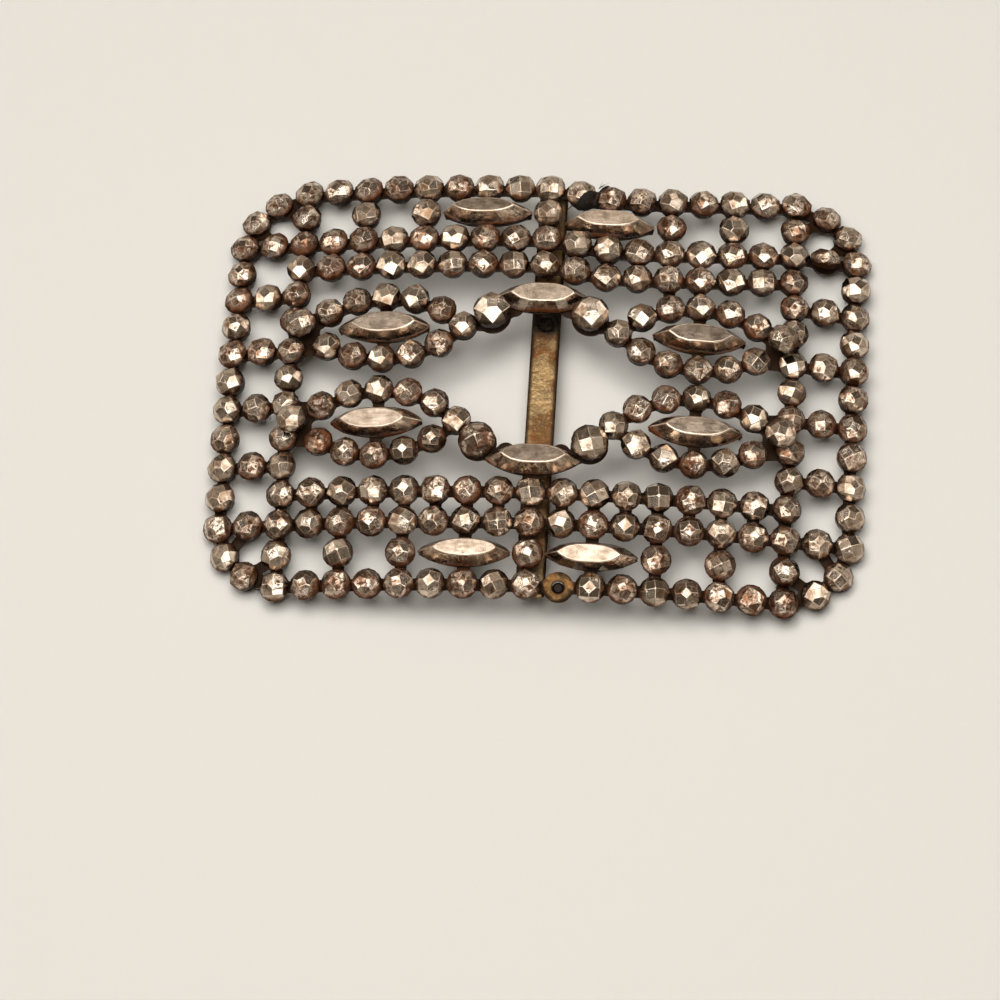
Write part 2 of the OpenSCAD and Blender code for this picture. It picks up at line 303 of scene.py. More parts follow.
def pierced_sheet(outline, reach, cell, face, thickness, rounding, undercut):
    """Closed sheet with any number of openings, cut from a plan grid. A cell stays where the
    outline's signed distance at its middle is below zero, and the corners between kept and
    dropped cells slide down the distance's slope on to the outline. Front and back are that grid
    carried to the face and to one thickness behind it, both drawn in near the rim by the square
    of the nearness. The back's rim also moves inwards by the undercut, and walls join the two."""

    def uphill(p):
        step = 1e-6
        slope = np.stack([outline(p + step * e) - outline(p - step * e) for e in np.eye(2)], 1)
        slope /= 2 * step
        return slope / np.maximum((slope ** 2).sum(1, keepdims=True), 0.25)

    count = np.round(2 * np.array(reach) / cell).astype(int)
    axes = [np.linspace(-r, r, n + 1) for r, n in zip(reach, count)]
    plan = np.stack(np.meshgrid(*axes, indexing="ij"), -1)
    middle = (plan[:-1, :-1] + plan[1:, 1:]) / 2
    kept = outline(middle.reshape(-1, 2)).reshape(count) < 0
    kept[1:, :-1] |= kept[:-1, :-1] & kept[1:, 1:] & ~kept[:-1, 1:]
    kept[1:, 1:] |= kept[:-1, 1:] & kept[1:, :-1] & ~kept[:-1, :-1]
    plan = plan.reshape(-1, 2)
    number = np.arange(len(plan)).reshape(count + 1)
    cells = np.stack([number[:-1, :-1], number[1:, :-1], number[1:, 1:], number[:-1, 1:]], -1)[kept]
    sides = np.concatenate([np.roll(cells, -k, axis=1)[:, :2] for k in range(4)])
    _, first, uses = np.unique(np.sort(sides, 1), axis=0, return_index=True, return_counts=True)
    rim_sides = sides[first[uses == 1]]
    rim = np.unique(rim_sides)
    for _ in range(4):
        away = outline(plan[rim])[:, None] * uphill(plan[rim])
        plan[rim] -= np.clip(away, -0.4 * cell, 0.4 * cell)
    used, at = np.unique(cells, return_inverse=True)
    cells = at.reshape(cells.shape)
    rim_sides = np.searchsorted(used, rim_sides)
    plan = plan[used]
    inside = outline(plan)[:, None]
    drawn = rounding * np.clip(1 + inside / (1.1 * cell), 0, 1) ** 2
    moved = undercut * np.clip(1 + inside / (2.5 * cell), 0, 1) ** 2
    top, outward = face(plan)
    below, outward_below = face(plan - moved * uphill(plan))
    points = np.vstack([top - outward * drawn, below - outward_below * (thickness - drawn)])
    half = len(plan)
    walls = np.stack([rim_sides[:, 0] + half, rim_sides[:, 1] + half, rim_sides[:, 1], rim_sides[:, 0]], 1)
    return points, cells, cells[:, ::-1] + half, walls


def on_dome(p):
    """Points of the dome above plan points, and the outward direction at each."""
    drop = np.sqrt(dome_radius ** 2 - (p ** 2).sum(1))
    points = np.column_stack([p, dome_middle[2] + drop])
    return points, (points - dome_middle) / dome_radius


plate = mesh_piece("brass_plate", *pierced_sheet(
    plate_outline, reach=(10.6 * pitch, 7.6 * pitch), cell=pitch / 10, face=on_dome,
    thickness=plate_thickness, rounding=0.0001, undercut=0.0003))
plate.data.shade_smooth()
plate.data.set_sharp_from_angle(angle=0.8)


def group(name, inputs, outputs):
    """New shader node group with its named sockets: the tree, its inputs and its outputs."""
    made = bpy.data.node_groups.new(name, "ShaderNodeTree")
    for key, (kind, value) in inputs.items():
        socket = made.interface.new_socket(key, in_out="INPUT", socket_type="NodeSocket" + kind)
        if kind == "Float":
            socket.default_value = value
    for key in outputs:
        made.interface.new_socket(key, in_out="OUTPUT", socket_type="NodeSocketFloat")
    return made, made.nodes.new("NodeGroupInput").outputs, made.nodes.new("NodeGroupOutput").inputs


def placed_group(tree, made, inputs):
    """Puts a node group into a material with its own values, and gives its outputs."""
    holder = node(tree, "Group", node_tree=made)
    for name, value in inputs.items():
        if isinstance(value, bpy.types.NodeSocket):
            tree.links.new(value, holder.inputs[name])
        else:
            holder.inputs[name].default_value = value
    return holder.outputs


# Tarnish comes as broad patches, as ragged pits that crowd together, and as specks left bright.
tarnish, given, result = group(
    "tarnish",
    {"Point": ("Vector", None), "Patch Scale": ("Float", 400.0), "Pit Scale": ("Float", 4000.0),
     "Pitted": ("Float", 0.5)},
    ("Patches", "Pits", "Specks", "Relief"),
)
broad = node(tarnish, "TexNoise", {
    "Vector": given["Point"], "Scale": given["Patch Scale"], "Detail": 5.0, "Roughness": 0.6,
}).outputs["Fac"]
tarnish.links.new(ramp(tarnish, broad, 0.36, 0.66), result["Patches"])
crowd = node(tarnish, "TexNoise", {
    "Vector": given["Point"], "Scale": math(tarnish, "MULTIPLY", given["Pit Scale"], 0.3),
    "Detail": 3.0,
}).outputs["Fac"]
crowded = ramp(tarnish, math(tarnish, "ADD", crowd, given["Pitted"]), 0.9, 1.15)
fine = node(tarnish, "TexNoise", {
    "Vector": given["Point"], "Scale": given["Pit Scale"], "Detail": 3.0, "Roughness": 0.65,
    "Distortion": 0.6,
}).outputs["Fac"]
pits = math(tarnish, "MULTIPLY", ramp(tarnish, fine, 0.40, 0.5, 1.0, 0.0), crowded)
tarnish.links.new(pits, result["Pits"])
dents = node(tarnish, "TexNoise", {
    "Vector": given["Point"], "Scale": math(tarnish, "MULTIPLY", given["Pit Scale"], 0.45),
    "Detail": 1.0,
}).outputs["Fac"]
rough_part = math(tarnish, "MULTIPLY", math(tarnish, "ADD", fine, dents), crowded)
tarnish.links.new(
    math(tarnish, "ADD", math(tarnish, "MULTIPLY", dents, 0.6), rough_part), result["Relief"])
tarnish.links.new(math(tarnish, "MULTIPLY", ramp(tarnish, fine, 0.56, 0.66), crowded), result["Specks"])

# Low down between the studs, by height above the dome's surface: a mask for painted shade with
# some dirt, and one for rust.
crevices, given, result = group(
    "crevices",
    {"Point": ("Vector", None), "Reach": ("Float", 0.001), "Spread": ("Float", 500.0)},
    ("Low", "Rusty"),
)
distance = node(crevices, "VectorMath", {
    0: given["Point"], 1: tuple(dome_middle),
}, operation="DISTANCE").outputs["Value"]
above = math(crevices, "DIVIDE", math(crevices, "SUBTRACT", distance, dome_radius), given["Reach"])
ragged = node(crevices, "TexNoise", {
    "Vector": given["Point"], "Scale": given["Spread"], "Detail": 5.0, "Roughness": 0.65,
}).outputs["Fac"]
uneven = math(crevices, "ADD", above, math(crevices, "MULTIPLY", ragged, 0.8))
crevices.links.new(ramp(crevices, uneven, 0.85, 1.15, 1.0, 0.0), result["Low"])
blotches = node(crevices, "TexNoise", {
    "Vector": given["Point"], "Scale": math(crevices, "MULTIPLY", given["Spread"], 0.2),
    "Detail": 3.0,
}).outputs["Fac"]
crevices.links.new(
    math(crevices, "MULTIPLY", ramp(crevices, uneven, 1.0, 1.6, 1.0, 0.0),
         ramp(crevices, blotches, 0.39, 0.54)),
    result["Rusty"],
)


# The plate's brass is painted nearly black, as its stain and as painted shade under and between
# the studs, but not round the empty seat, where it shows its bright tone, dull in patches, and
# only the hole is painted dark, as painted shade.
material, tree, surface = finish_of("aged_plate_brass")
point = node(tree, "TexCoord").outputs["Object"]
worn = placed_group(tree, tarnish, {
    "Point": point, "Patch Scale": 900.0, "Pit Scale": 2600.0, "Pitted": 0.5})
low = placed_group(tree, crevices, {"Point": point, "Reach": 0.0004, "Spread": 420.0})
stump_seat, stump_axis = on_dome(empty_seat[None])
away = node(tree, "VectorMath", {
    0: point, 1: tuple(stump_seat[0])}, operation="DISTANCE").outputs["Value"]
# Painted shade: the rivet hole's walls are painted nearly black.
hole_shade = ramp(tree, away, 0.0007, 0.0009, 0.95, 0.0)
away = math(tree, "ADD", away, math(tree, "MULTIPLY", worn["Patches"], 0.0005))
# Stain and painted shade: the brass is painted nearly black except round the empty seat.
stained_and_shaded = ramp(tree, away, 0.0014, 0.0021, 0.0, 0.975)
colour = mixed(tree, worn["Patches"], (0.26, 0.14, 0.05, 1), (0.125, 0.10, 0.045, 1))
colour = mixed(tree, math(tree, "MULTIPLY", worn["Specks"], 0.4), colour, (0.50, 0.36, 0.20, 1))
colour = mixed(tree, math(tree, "MULTIPLY", low["Rusty"], 0.45), colour, (0.13, 0.045, 0.012, 1))
colour = mixed(tree, math(tree, "MULTIPLY", worn["Pits"], 0.7), colour, (0.02, 0.013, 0.006, 1))
colour = mixed(tree, math(tree, "MAXIMUM", stained_and_shaded, hole_shade), colour, (0.015, 0.0065, 0.0024, 1))
tree.links.new(colour, surface.inputs["Base Color"])
tree.links.new(ramp(tree, worn["Patches"], 0.0, 1.0, 0.45, 0.65), surface.inputs["Roughness"])
surface.inputs["Specular IOR Level"].default_value = 0.08
tree.links.new(ramp(tree, stained_and_shaded, 0.0, 1.0, 0.85, 0.1), surface.inputs["Metallic"])
bump = node(tree, "Bump", {"Height": worn["Relief"], "Strength": 0.6, "Distance": 0.00005})
tree.links.new(bump.outputs["Normal"], surface.inputs["Normal"])
plate.data.materials.append(material)
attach(plate, "root")
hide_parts("backing_plate")

# Shanks: every stud has a steel shank that goes through its lobe and is hammered to a low button
# behind it. The ends of the leaves stand on longer shanks and the large studs on pads. The lost
# stud's shank has broken off inside its hole, and its stump is painted near black as painted shade.
shank_radius = 0.0004
collar_radius = 0.0005
pad_radius = 0.0013
stump_radius = 0.00062
button_radius = 0.00072
button_height = 0.00026
pad_level = (0.0003, 0.0010)
depth_of_bar = 0.0013


def frames(axis):
    """Two unit directions across each axis, the first level with the X axis."""
    u = np.stack([axis[:, 2], np.zeros(len(axis)), -axis[:, 0]], 1)
    u /= np.linalg.norm(u, axis=1, keepdims=True)
    return u, np.cross(axis, u)


def spokes(u, v, sides):
    """Unit directions evenly round each axis: the cosine of an angle times one direction across
    it, and the sine times the other."""
    angle = (2 * np.pi * np.arange(sides) / sides)[None, :, None]
    return np.cos(angle) * u[:, None] + np.sin(angle) * v[:, None]


def turned(base, axis, profile, sides, wobble=None):
    """Closed turned shapes on many seats: a profile of (radius, height) pairs is carried round
    each axis, and its two ends are closed by a flat panel."""
    profile = np.asarray(profile, float)
    radius, height = np.moveaxis(np.broadcast_to(profile, (len(base), *profile.shape[-2:])), 2, 0)
    if wobble is not None:
        radius = radius * wobble[:, None]
    spoke = spokes(*frames(axis), sides)
    points = (
        base[:, None, None]
        + radius[:, :, None, None] * spoke[:, None]
        + height[:, :, None, None] * axis[:, None, None]
    )
    rings = radius.shape[1]
    first = np.arange(len(base))[:, None, None] * rings * sides
    ring = np.arange(rings - 1)[None, :, None] * sides
    k, k_next = np.arange(sides), (np.arange(sides) + 1) % sides
    a, b = first + ring + k, first + ring + k_next
    walls = np.stack([a, b, b + sides, a + sides], -1).reshape(-1, 4)
    start = np.arange(len(base))[:, None] * rings * sides
    return points.reshape(-1, 3), walls, start + k[::-1], start + (rings - 1) * sides + k


def joined(shapes):
    """Several shapes, each given as its points and then its panels, as one such shape."""
    counts = np.cumsum([0] + [len(points) for points, *_ in shapes])
    return (
        np.vstack([points for points, *_ in shapes]),
        *[rows + first for first, (_, *panels) in zip(counts, shapes) for rows in panels])


all_seats = np.vstack([places[name][0] for name in places])
all_axes = np.vstack([places[name][1] for name in places])
raised = np.linalg.norm(all_seats - dome_middle, axis=1) - dome_radius
through_bar = (np.abs(all_seats[:, 0]) < pitch / 2) & (np.abs(all_seats[:, 1]) > 6.5 * pitch)
behind = raised + np.where(through_bar, plate_thickness + depth_of_bar, plate_thickness)
on_pad = (raised > pad_level[0]) & (raised < pad_level[1])
width = np.select([on_pad, raised > pad_level[1]], [pad_radius, shank_radius], collar_radius)
profiles = np.stack([
    np.column_stack(np.broadcast_arrays(radius, height)) for radius, height in (
        (0.55 * button_radius, -behind - button_height),
        (0.9 * button_radius, -behind - 0.6 * button_height),
        (button_radius, -behind + 0.00003),
        (shank_radius, -behind + 0.00006),
        (shank_radius, -raised - 0.0002),
        (width, -raised - 0.0001),
        (width, 0.0001),
    )
], 1)
draw = np.random.default_rng(11)
stump = [
    (shank_radius, -plate_thickness - button_height), (button_radius, -plate_thickness - 0.0001),
    (button_radius, -plate_thickness - 0.00002), (stump_radius, -plate_thickness),
    (stump_radius, -0.00042), (shank_radius, -0.00036),
]
shanks = mesh_piece("shanks", *joined([
    turned(all_seats, all_axes, profiles, 12, draw.uniform(0.88, 1.1, len(raised))),
    turned(stump_seat, stump_axis, stump, 16),
]))
shanks.data.shade_smooth()
material, tree, surface = finish_of("shank_steel")
point = node(tree, "TexCoord").outputs["Object"]
worn = placed_group(tree, tarnish, {
    "Point": point, "Patch Scale": 500.0, "Pit Scale": 3500.0, "Pitted": 0.5})
colour = mixed(tree, worn["Patches"], (0.27, 0.22, 0.18, 1), (0.10, 0.06, 0.035, 1))
# Painted shade: the stump in the empty hole is painted near black.
away = node(tree, "VectorMath", {
    0: point, 1: tuple(stump_seat[0])}, operation="DISTANCE").outputs["Value"]
stump_shade = ramp(tree, away, 0.0009, 0.0012, 1.0, 0.0)
colour = mixed(tree, stump_shade, colour, (0.008, 0.006, 0.005, 1))
tree.links.new(
    mixed(tree, math(tree, "MULTIPLY", worn["Pits"], 0.7), colour, (0.03, 0.012, 0.006, 1)),
    surface.inputs["Base Color"])
surface.inputs["Metallic"].default_value = 0.85
surface.inputs["Roughness"].default_value = 0.45
shanks.data.materials.append(material)
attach(shanks, "root")

# The centre bar: a flat strip of brass, round at its long edges, riveted behind the two rails.
# The belt went round it. Near its top is a blind hole, painted nearly black inside as painted
# shade, and the metal round it is darker too.
bar_low, bar_high = (np.array(corner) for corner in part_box("centre_bar"))
bar_hole = np.array((0, 0.00825))
bar_hole_radius = 0.00085
bar_hole_depth = 0.00045
bar_middle = (bar_low + bar_high) / 2
bar_half = (bar_high - bar_low) / 2


def bar_outline(p):
    """Signed distance to a strip with corners rounded by 0.3 mm, less its hole."""
    corner = 0.0003
    past = np.abs(p) - (bar_half[:2] - corner)
    strip = np.linalg.norm(np.maximum(past, 0), axis=1) + np.minimum(past.max(1), 0) - corner
    return np.maximum(strip, bar_hole_radius - np.linalg.norm(p - bar_hole, axis=1))


def bar_face(p):
    """The strip's flat upper face, which points straight up."""
    points = np.column_stack([p + bar_middle[:2], np.full(len(p), bar_high[2])])
    return points, np.broadcast_to((0, 0, 1.0), points.shape)


bar_thickness = 2 * bar_half[2]
bar_hole_bottom = [(bar_hole_radius + 0.00005, z) for z in (0.00002 - bar_thickness, -bar_hole_depth)]
bar = mesh_piece("belt_bar", *joined([
    pierced_sheet(
        bar_outline, reach=bar_half[:2] + 0.0002, cell=0.00022, face=bar_face,
        thickness=bar_thickness, rounding=0.0002, undercut=0.0001),
    turned(*bar_face(bar_hole[None]), bar_hole_bottom, 20),
]))
bar.data.shade_smooth()
bar.data.set_sharp_from_angle(angle=0.9)
material, tree, surface = finish_of("aged_bar_brass")
point = node(tree, "TexCoord").outputs["Object"]
worn = placed_group(tree, tarnish, {
    "Point": point, "Patch Scale": 420.0, "Pit Scale": 4200.0, "Pitted": 0.6})
mottling = node(tree, "TexNoise", {"Vector": point, "Scale": 330.0, "Detail": 4.0}).outputs["Fac"]
sideways = node(tree, "SeparateXYZ", {"Vector": point}).outputs["X"]
to_edge = math(tree, "ABSOLUTE", math(tree, "SUBTRACT", sideways, float(bar_middle[0])))
to_edge = math(tree, "ADD", to_edge, math(tree, "MULTIPLY", mottling, 0.0003))
from_hole = node(tree, "VectorMath", {
    0: point, 1: tuple(bar_face(bar_hole[None])[0][0])}, operation="DISTANCE").outputs["Value"]
from_hole = math(tree, "ADD", from_hole, math(tree, "MULTIPLY", mottling, 0.0012))
colour = mixed(tree, ramp(tree, mottling, 0.45, 0.55), (0.34, 0.215, 0.095, 1), (0.18, 0.065, 0.017, 1))
colour = mixed(tree, math(tree, "MULTIPLY", worn["Patches"], 0.5), colour, (0.11, 0.085, 0.035, 1))
colour = mixed(tree, math(tree, "MULTIPLY", worn["Specks"], 0.4), colour, (0.62, 0.47, 0.27, 1))
colour = mixed(tree, math(tree, "MULTIPLY", worn["Pits"], 0.6), colour, (0.05, 0.028, 0.01, 1))
colour = mixed(tree, ramp(tree, to_edge, 0.0011, 0.0017, 0.0, 0.95), colour, (0.035, 0.015, 0.006, 1))
# Painted shade in the blind hole, which is painted nearly black; the metal round it is darkened too, fading
# out.
colour = mixed(tree, ramp(tree, from_hole, 0.0017, 0.0034, 0.96, 0.0), colour, (0.014, 0.011, 0.007, 1))
tree.links.new(colour, surface.inputs["Base Color"])
tree.links.new(ramp(tree, mottling, 0.3, 0.7, 0.34, 0.55), surface.inputs["Roughness"])
tree.links.new(ramp(tree, worn["Pits"], 0.0, 1.0, 0.9, 0.4), surface.inputs["Metallic"])
bump = node(tree, "Bump", {"Height": worn["Relief"], "Strength": 0.5, "Distance": 0.00005})
tree.links.new(bump.outputs["Normal"], surface.inputs["Normal"])
bar.data.materials.append(material)
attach(bar, "root")
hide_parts("centre_bar")

# The small studs: turned steel heads, cut on the lap into four square facets round a lozenge
# table, small on some of them, with eight larger facets below them down to the girdle. Each was
# riveted in by itself, so it is turned, tilted and worn in its own way, and nearly touches the next.
small_stud_height = 0.0018
small_stud_reach = 0.00179
above_girdle = 12
girdle_sides = 16
stud_corners = above_girdle + 2 * girdle_sides


def keep_values(piece, name, domain, values):
    """Gives a piece one number for each face or point, which its finish reads by name."""
    piece.data.attributes.new(name, "FLOAT", domain).data.foreach_set("value", values)


def cut_studs(name, seat, axis, radius, height, seed, table=None, tarnished=None):
    """Faceted heads on many seats. In plan each has a lozenge table, four square facets from it
    out to the corners of a block, and eight facets from the block to a round girdle of sixteen
    sides. Reaches are shares of the radius and heights shares of the height. Every facet is
    flat: the squares fall from the table by one slope, and a girdle corner takes the height that
    its facet's plane has there. The table's reach and the wear are drawn for each head unless
    they are given."""
    draw = np.random.default_rng(seed)
    n = len(seat)
    table_at = np.where(draw.random(n) < 0.7, draw.uniform(0.30, 0.44, n), draw.uniform(0.05, 0.12, n))
    if table is not None:
        table_at = np.full(n, table)
    side_at = np.maximum(draw.uniform(0.56, 0.72, n), table_at + 0.2)
    block_at = side_at * draw.uniform(0.88, 0.98, n)
    slope = draw.uniform(0.34, 0.46, n)
    rim = draw.uniform(0.32, 0.42, n)
    side_z = 1 - slope * (side_at - table_at)
    block_z = 1 - slope * (2 * block_at - table_at)
    fall = (side_z - rim) / (1 - side_at)
    lean = (side_z - block_z - fall * (block_at - side_at)) / block_at
    quarter = np.pi / 2 * np.arange(4)
    girdle_angle = 2 * np.pi / girdle_sides * np.arange(girdle_sides)
    folded = np.abs((girdle_angle + np.pi / 4) % (np.pi / 2) - np.pi / 4)

    def ring(angle, r, z):
        r, z = (np.broadcast_to(np.reshape(part, (n, -1)), (n, len(angle))) for part in (r, z))
        return np.stack([r * np.cos(angle), r * np.sin(angle), z], 2)

    side_z, fall, lean = side_z[:, None], fall[:, None], lean[:, None]
    girdle_z = side_z - fall * (np.cos(folded) - side_at[:, None]) - lean * np.sin(folded)
    local = np.concatenate([
        ring(quarter, table_at, np.ones(n)), ring(quarter, side_at, side_z),
        ring(quarter + np.pi / 4, block_at * np.sqrt(2), block_z),
        ring(girdle_angle, np.ones(n), girdle_z), ring(girdle_angle, np.full(n, 0.95), np.zeros(n)),
    ], 1)
    skew = draw.uniform(-0.13, 0.13, (n, 1, 2))
    local[:, :, :2] += skew * (local[:, :, 2:] - 0.4).clip(0)
    axis = axis + draw.normal(0, 0.045, (n, 3))
    axis /= np.linalg.norm(axis, axis=1, keepdims=True)
    u, v = frames(axis)
    angle = draw.uniform(0, np.pi / 2, n)[:, None]
    u, v = u * np.cos(angle) + v * np.sin(angle), v * np.cos(angle) - u * np.sin(angle)
    radius = (radius * draw.uniform(0.98, 1.0, n))[:, None, None]
    height = (height * draw.uniform(0.84, 1.0, n))[:, None, None]
    points = (
        seat[:, None]
        + radius * (local[:, :, :1] * u[:, None] + local[:, :, 1:2] * v[:, None])
        + height * local[:, :, 2:] * axis[:, None]
    )
    k = np.arange(4)
    after = (k + 1) % 4
    girdle = above_girdle + np.arange(girdle_sides)
    foot = girdle + girdle_sides
    start, middle, end = girdle[4 * k], girdle[4 * k + 2], girdle[4 * after]
    squares = np.stack([k, 4 + k, 8 + k, 4 + after, after], 1)
    right = np.stack([4 + k, start, start + 1, middle, 8 + k], 1)
    left = np.stack([8 + k, middle, middle + 1, end, 4 + after], 1)
    walls = np.stack([girdle, foot, np.roll(foot, -1), np.roll(girdle, -1)], 1)
    first = np.arange(n)[:, None, None] * stud_corners
    panels = [
        (first + rows).reshape(-1, rows.shape[1])
        for rows in (k[None], squares, right, left, walls, foot[None, ::-1])
    ]
    piece = mesh_piece(name, points.reshape(-1, 3), *panels)
    keep_values(piece, "tone", "FACE", draw.random(len(piece.data.polygons)))
    whole = draw.random(n) if tarnished is None else np.full(n, tarnished)
    wear = np.concatenate([np.repeat(whole, len(rows) // n) for rows in panels])
    keep_values(piece, "wear", "FACE", wear)
    # Marks the girdle and foot points, which the finish paints dark brown: tarnish and painted shade.
    girdle_tarnish_and_shade = np.tile(np.arange(stud_corners) >= above_girdle, n).astype(float)
    keep_values(piece, "rim", "POINT", girdle_tarnish_and_shade)
    # Marks the upright wall and the foot, which the finish paints near black: painted shade with some dirt.
    side = np.concatenate([np.full(len(rows), float(place > 3)) for place, rows in enumerate(panels)])
    keep_values(piece, "side", "FACE", side)
    bevel_ridges(
        piece, lambda ends: (ends % stud_corners < above_girdle).all(1), width=0.00006, flats=1)
    return piece


def bevel_ridges(piece, chosen, width, flats):
    """Rounds the chosen edges, given by the numbers of their two ends, and keeps the rest sharp."""
    edges = np.empty(len(piece.data.edges) * 2, int)
    piece.data.edges.foreach_get("vertices", edges)
    ridge = chosen(edges.reshape(-1, 2))
    piece.data.shade_smooth()
    piece.data.attributes.new("sharp_edge", "BOOLEAN", "EDGE").data.foreach_set("value", ~ridge)
    weight = piece.data.attributes.new("bevel_weight_edge", "FLOAT", "EDGE")
    weight.data.foreach_set("value", ridge.astype(float))
    bevel = piece.modifiers.new("worn ridges", "BEVEL")
    bevel.limit_method = "WEIGHT"
    bevel.width = width
    bevel.segments = flats
    bevel.use_clamp_overlap = False
    bevel.harden_normals = True
    bevel.material = 1


def steel_finish(name, bright, dull, pitted, rough, rust=1.0, grime_and_shade=0.95):
    """Cut steel: a facet's own tone between bright and dull, brown tarnish in patches, pits that
    crowd on some studs, rust low down in some places, a dark brown girdle of tarnish and painted
    shade, and near black painted shade, with some matt dirt, low down and on the upright sides."""
    material, tree, surface = finish_of(name)
    point = node(tree, "TexCoord").outputs["Object"]
    tone = node(tree, "Attribute", attribute_name="tone").outputs["Fac"]
    wear = node(tree, "Attribute", attribute_name="wear").outputs["Fac"]
    worn = placed_group(tree, tarnish, {
        "Point": point, "Patch Scale": 700.0, "Pit Scale": 1700.0,
        "Pitted": ramp(tree, wear, 0.1, 0.9, pitted - 0.1, pitted + 0.3)})
    low = placed_group(tree, crevices, {
        "Point": point, "Reach": ramp(tree, wear, 0.2, 1.0, 0.0007, 0.0012), "Spread": 1400.0})
    shade = math(
        tree, "ADD", math(tree, "MULTIPLY", tone, 0.5), math(tree, "MULTIPLY", worn["Patches"], 0.5))
    colour = mixed(tree, shade, bright, dull)
    brown = math(tree, "MULTIPLY", worn["Patches"], ramp(tree, wear, 0.3, 1.0, 0.0, 0.75))
    colour = mixed(tree, brown, colour, (0.18, 0.066, 0.029, 1))
    colour = mixed(tree, math(tree, "MULTIPLY", worn["Pits"], 0.9), colour, (0.06, 0.026, 0.011, 1))
    colour = mixed(tree, math(tree, "MULTIPLY", worn["Specks"], 0.6), colour, (0.85, 0.75, 0.62, 1))
    colour = mixed(tree, math(tree, "MULTIPLY", low["Rusty"], 0.9 * rust), colour, (0.18, 0.053, 0.015, 1))
    # A dark brown girdle: tarnish, and painted shade low on each head.
    rim = node(tree, "Attribute", attribute_name="rim").outputs["Fac"]
    rim = math(tree, "ADD", rim, math(tree, "MULTIPLY", worn["Patches"], 0.3))
    colour = mixed(tree, ramp(tree, rim, 0.7, 1.2, 0.0, 0.85), colour, (0.065, 0.022, 0.008, 1))
    # Painted shade: low parts and upright sides are painted near black, with some dirt in it.
    side = node(tree, "Attribute", attribute_name="side").outputs["Fac"]
    dirt_and_shade = math(tree, "MULTIPLY", math(tree, "MAXIMUM", low["Low"], side), grime_and_shade)
    colour = mixed(tree, dirt_and_shade, colour, (0.024, 0.009, 0.003, 1))
    tree.links.new(colour, surface.inputs["Base Color"])
    tree.links.new(
        math(tree, "ADD", ramp(tree, shade, 0.0, 1.0, rough, rough + 0.16),
             math(tree, "MULTIPLY", worn["Pits"], 0.2)),
        surface.inputs["Roughness"])
    surface.inputs["Specular IOR Level"].default_value = 0.06
    matt = math(tree, "MAXIMUM", low["Rusty"], dirt_and_shade)
    tree.links.new(ramp(tree, matt, 0.0, 1.0, 1.0, 0.1), surface.inputs["Metallic"])
    bump = node(tree, "Bump", {"Height": worn["Relief"], "Strength": 0.6, "Distance": 0.00006})
    tree.links.new(bump.outputs["Normal"], surface.inputs["Normal"])
    return material


facet_steel = steel_finish(
    "facet_steel", bright=(0.74, 0.63, 0.52, 1), dull=(0.16, 0.09, 0.042, 1), pitted=0.52, rough=0.16)
ridge_steel = steel_finish(
    "ridge_steel", bright=(0.70, 0.58, 0.47, 1), dull=(0.34, 0.24, 0.165, 1), pitted=0.3, rough=0.26)

# The outermost stud of the top outer band, in the cracked quarter, has come loose and leans back.
loose_lift = 0.0011
loose_slide = (-0.0002, -0.0007, 0)
loose_lean = (0, 0.6, 0)
loose_seats, loose_axes = places["top_outer_band"]
loose = np.argmax(loose_seats[:, 0])
loose_seats[loose] += loose_lift * loose_axes[loose] + loose_slide
loose_axes[loose] += loose_lean
loose_axes[loose] /= np.linalg.norm(loose_axes[loose])

# A stud's radius is half the way to its nearest neighbour on its own level, less a hair's gap, up
# to a largest one.
half_gap = 0.00001
small_seats = np.vstack([places[name][0] for name in stud_fields])
level = np.linalg.norm(small_seats - dome_middle, axis=1)
apart = np.linalg.norm(small_seats[:, None] - small_seats, axis=2)
apart[(np.abs(level[:, None] - level) > 0.0005) | np.eye(len(level), dtype=bool)] = 1
stud_reach = np.minimum(apart.min(1) / 2 - half_gap, small_stud_reach)

passed = 0
for number, name in enumerate(stud_fields):
    reach = stud_reach[passed:passed + len(places[name][0])]
    passed += len(reach)
    field = cut_studs(name + "_cut", *places[name], reach, small_stud_height, 20 + number)
    field.data.materials.append(facet_steel)
    field.data.materials.append(ridge_steel)
    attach(field, "root")
    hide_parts(name)

# The large studs: the same cut on heads of 4.3 mm, one on a pad beside each end of the centre
# navettes. The top ones kept a clear lozenge table, and the bottom left one is brown and pitted.
large_stud_radius = 0.00215
large_stud_height = 0.0023
for number, name in enumerate(large_studs):
    head = cut_studs(
        name + "_cut", *places[name], large_stud_radius, large_stud_height, 60 + number,
        table=0.36 if "top" in name else 0.08,
        tarnished=0.95 if name.endswith("bottom_left") else 0.18)
    head.data.materials.append(facet_steel)
    head.data.materials.append(ridge_steel)
    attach(head, "root")
    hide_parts(name)

# The navettes: long steel heads, pointed at both ends, each with a flat polished table and five
# facets on either side that meet the girdle. They are riveted lengthwise along the buckle, and
# some nod forwards or back by a few degrees.
facet_ends = (-1, -0.68, -0.38, 0.38, 0.68, 1)
steps_each = 3
stations = np.concatenate(
    [np.linspace(a, b, steps_each + 1)[:-1] for a, b in zip(facet_ends, facet_ends[1:])] + [[1.0]])
around = 2 * len(stations) - 2
nods = {
    "leaf_navette_top_left": -3.5, "leaf_navette_top_right": -2, "leaf_navette_bottom_left": -3,
    "leaf_navette_bottom_right": 1, "centre_navette_top": -4, "centre_navette_bottom": 10,
    "rim_navette_bottom_left": 6,
}
navette_height = 0.0020
rim_navette_half = (0.0053, 0.0017)
wide_navette_half = (0.00545, 0.0019)


